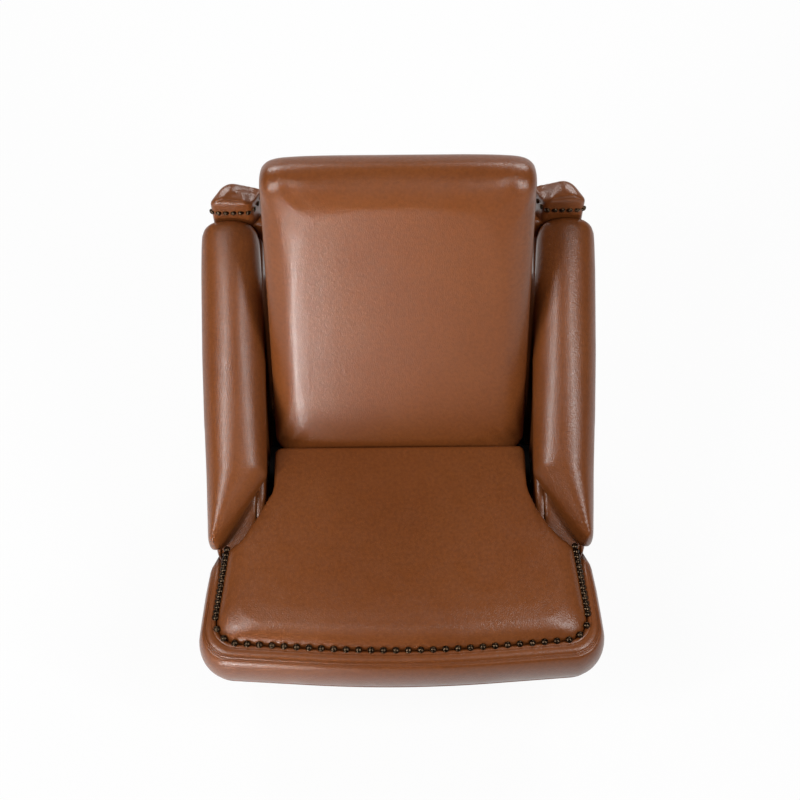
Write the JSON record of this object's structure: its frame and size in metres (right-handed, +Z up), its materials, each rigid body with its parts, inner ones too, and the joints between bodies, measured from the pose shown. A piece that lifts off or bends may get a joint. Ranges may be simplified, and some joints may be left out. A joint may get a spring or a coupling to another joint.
{
  "type": "recliner",
  "caption": "Push-back recliner in smooth leather with sloping arms, a T-shaped seat edged with nails, a reclining back and a folding footrest under the seat.",
  "frame": {"origin": "on the floor, under the middle of the chair's outline", "axes": "+Z up, +X to the right seen from the front, -Y towards the front of the seat"},
  "size_m": [0.7746, 0.8619, 0.9987],
  "materials": {
    "cognac_leather": "satin",
    "frame_wood": "matte",
    "leg_wood": "satin",
    "black_steel": "satin",
    "pin_steel": "satin",
    "nylon": "matte",
    "webbing": "matte",
    "felt": "matte"
  },
  "bodies": {
    "frame": {"side_frame_left": "frame_wood", "side_frame_right": "frame_wood", "outer_cover_left": "cognac_leather", "outer_cover_right": "cognac_leather", "inner_cover_left": "cognac_leather", "inner_cover_right": "cognac_leather", "arm_pad_left": "cognac_leather", "arm_pad_right": "cognac_leather", "wing_left": "cognac_leather", "wing_right": "cognac_leather", "slide_track_left": "black_steel", "slide_track_right": "black_steel", "leg_front_left": "leg_wood", "leg_front_right": "leg_wood", "leg_rear_left": "leg_wood", "leg_rear_right": "leg_wood", "leg_plates": "black_steel", "glides": "nylon", "front_stretcher": "frame_wood", "rear_stretcher": "frame_wood", "rear_panel": "cognac_leather", "dust_cover": "webbing"},
    "seat": {"seat_rail_left": "frame_wood", "seat_rail_right": "frame_wood", "seat_rear_rail": "frame_wood", "seat_rear_slat": "frame_wood", "seat_front_board": "frame_wood", "seat_webbing": "webbing", "deck_felt": "felt", "seat_cushion": "cognac_leather", "seat_border": "cognac_leather", "mechanism_plate_left": "black_steel", "mechanism_plate_right": "black_steel", "slide_shoes": "nylon", "hinge_pins": "pin_steel", "knee_pins": "pin_steel"},
    "back": {"back_stile_left": "frame_wood", "back_stile_right": "frame_wood", "hinge_arm_left": "black_steel", "hinge_arm_right": "black_steel", "back_bottom_rail": "frame_wood", "back_top_rail": "frame_wood", "back_webbing": "webbing", "rear_cover": "cognac_leather", "back_cushion": "cognac_leather"},
    "inner_links": {"inner_link_left": "black_steel", "inner_link_right": "black_steel", "elbow_pins": "pin_steel"},
    "outer_links": {"outer_link_left": "black_steel", "outer_link_right": "black_steel"},
    "footrest": {"footrest_bracket_left": "black_steel", "footrest_bracket_right": "black_steel", "footrest_board": "frame_wood", "footrest_pad": "cognac_leather", "toe_pins": "pin_steel"}
  },
  "joints": [
    {"name": "seat_slide", "type": "slide", "parent": "frame", "child": "seat", "axis": [0, -1, 0], "range_m": [0, 0.065]},
    {"name": "back_recline", "type": "hinge", "parent": "seat", "child": "back", "pos_m": [0, 0.045, 0.43], "axis": [-1, 0, 0], "range_deg": [0, 28], "stiffness_Nm_per_rad": 100, "springref_deg": -45.84},
    {"name": "footrest_swing", "type": "hinge", "parent": "seat", "child": "inner_links", "pos_m": [0, -0.246, 0.322], "axis": [-1, 0, 0], "range_deg": [0, 150]},
    {"name": "footrest_unfold", "type": "hinge", "parent": "inner_links", "child": "outer_links", "pos_m": [0, -0.0842, 0.20444], "axis": [1, 0, 0], "range_deg": [0, 140]},
    {"name": "footrest_tilt", "type": "hinge", "parent": "outer_links", "child": "footrest", "pos_m": [0, -0.2712, 0.20444], "axis": [-1, 0, 0], "range_deg": [0, 90]}
  ],
  "couplings": [
    {"joint": "seat_slide", "follows": "back_recline", "m_per_rad": 0.13301},
    {"joint": "footrest_swing", "follows": "back_recline", "ratio": 5.3571},
    {"joint": "footrest_unfold", "follows": "back_recline", "ratio": 5},
    {"joint": "footrest_tilt", "follows": "back_recline", "ratio": 3.2143}
  ]
}
